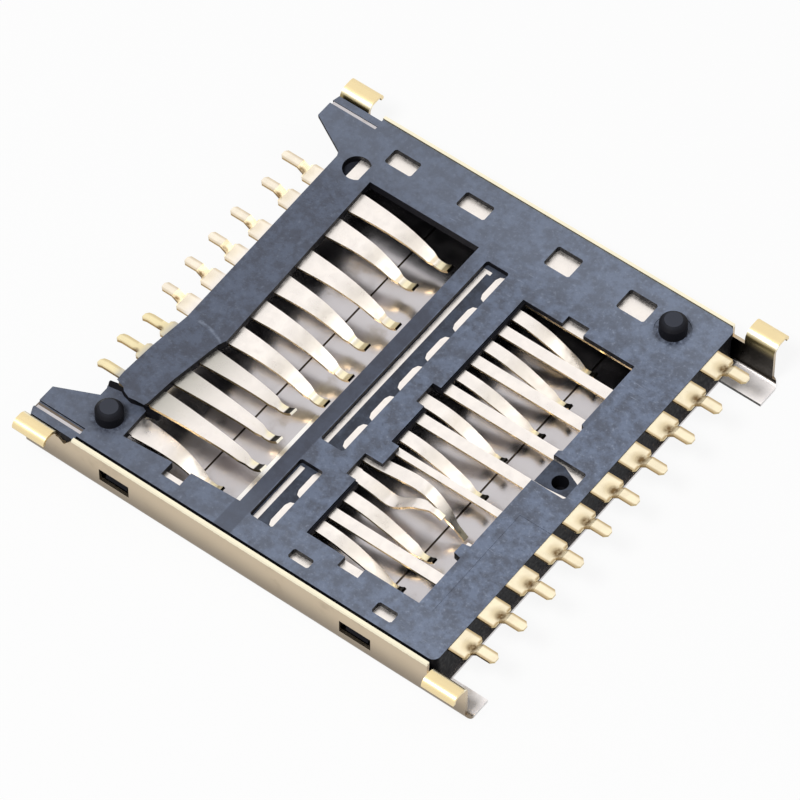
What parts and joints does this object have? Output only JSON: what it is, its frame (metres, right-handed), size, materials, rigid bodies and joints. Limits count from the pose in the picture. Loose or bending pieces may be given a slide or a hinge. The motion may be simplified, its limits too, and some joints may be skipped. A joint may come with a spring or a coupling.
{
  "type": "memory card connector",
  "caption": "Surface-mount memory card socket: folded metal shell, moulded frame with two windows, two rows of sprung contacts, locating pegs and soldering feet; front bar broken and lifted.",
  "frame": {"origin": "centre of the bounding box in plan, on the underside of the shell floor", "axes": "+X is the way a card goes in, from the open front to the rear wall; +Y runs across the socket, to the side with four openings in its band; +Z points from the shell floor to the board side"},
  "size_m": [0.03, 0.0298, 0.0039],
  "materials": {
    "housing": "matt, slate grey, faintly mottled",
    "shell": "rolled sheet with a warm tint, half mirror inside",
    "front_contacts": "bright plated, gold at the tips and leads",
    "rear_contacts": "bright plated, gold at the tips and leads",
    "embedded_strips": "bright plated"
  },
  "bodies": {
    "root": {"housing": "housing", "shell": "shell", "front_contact_01": "front_contacts", "front_contact_02": "front_contacts", "front_contact_03": "front_contacts", "front_contact_04": "front_contacts", "front_contact_05": "front_contacts", "front_contact_06": "front_contacts", "front_contact_07": "front_contacts", "front_contact_08": "front_contacts", "front_contact_09": "front_contacts", "front_contact_10": "front_contacts", "rear_contact_01": "rear_contacts", "rear_contact_02": "rear_contacts", "rear_contact_03": "rear_contacts", "rear_contact_04": "rear_contacts", "rear_contact_05": "rear_contacts", "rear_contact_06": "rear_contacts", "rear_contact_07": "rear_contacts", "rear_contact_08": "rear_contacts", "rear_contact_09": "rear_contacts", "card_detect_terminal": "embedded_strips", "write_protect_terminal": "embedded_strips", "short_terminal": "embedded_strips", "lower_strip": "embedded_strips", "long_bar_insert": "embedded_strips", "short_bar_insert": "embedded_strips"}
  },
  "joints": []
}
